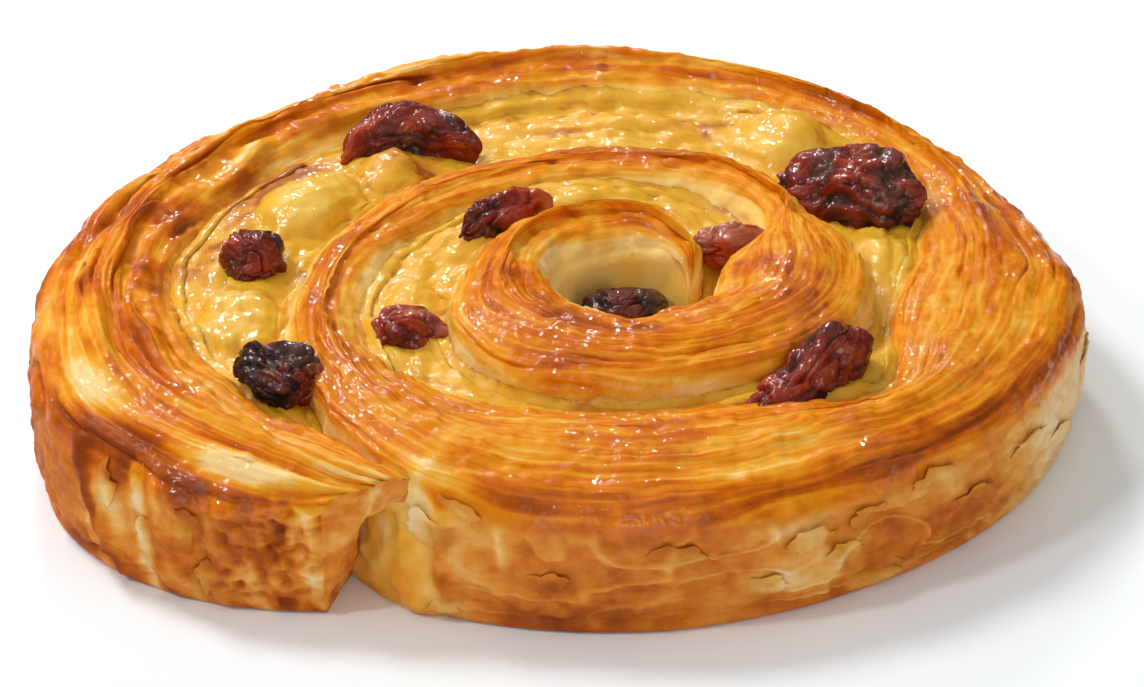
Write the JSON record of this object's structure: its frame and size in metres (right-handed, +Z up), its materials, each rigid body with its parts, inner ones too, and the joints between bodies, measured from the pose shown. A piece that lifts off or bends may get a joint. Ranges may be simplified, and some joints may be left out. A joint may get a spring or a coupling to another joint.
{
  "type": "danish pastry",
  "caption": "Coiled danish pastry of laminated dough, with custard and raisins between its turns, flat underneath and open at the heart.",
  "frame": {"origin": "under the middle of the pastry, on the surface it lies on", "axes": "+Z up through the coil, +X to the right and +Y away when the torn tail of the strip is at the near left"},
  "size_m": [0.1093, 0.101, 0.0206],
  "materials": {
    "baked_dough": "flaky baked crust under a thin sugar glaze",
    "custard": "baked custard, moist and slightly lumpy",
    "raisin": "wrinkled dark skin with a sugar shine"
  },
  "bodies": {
    "root": {"dough": "baked_dough", "custard": "custard", "raisin_heart": "raisin", "raisin_tip": "raisin", "raisin_upper_left": "raisin", "raisin_left": "raisin", "raisin_lower_right": "raisin", "raisin_large": "raisin", "raisin_arch": "raisin", "raisin_square": "raisin", "raisin_dark": "raisin"}
  },
  "joints": []
}
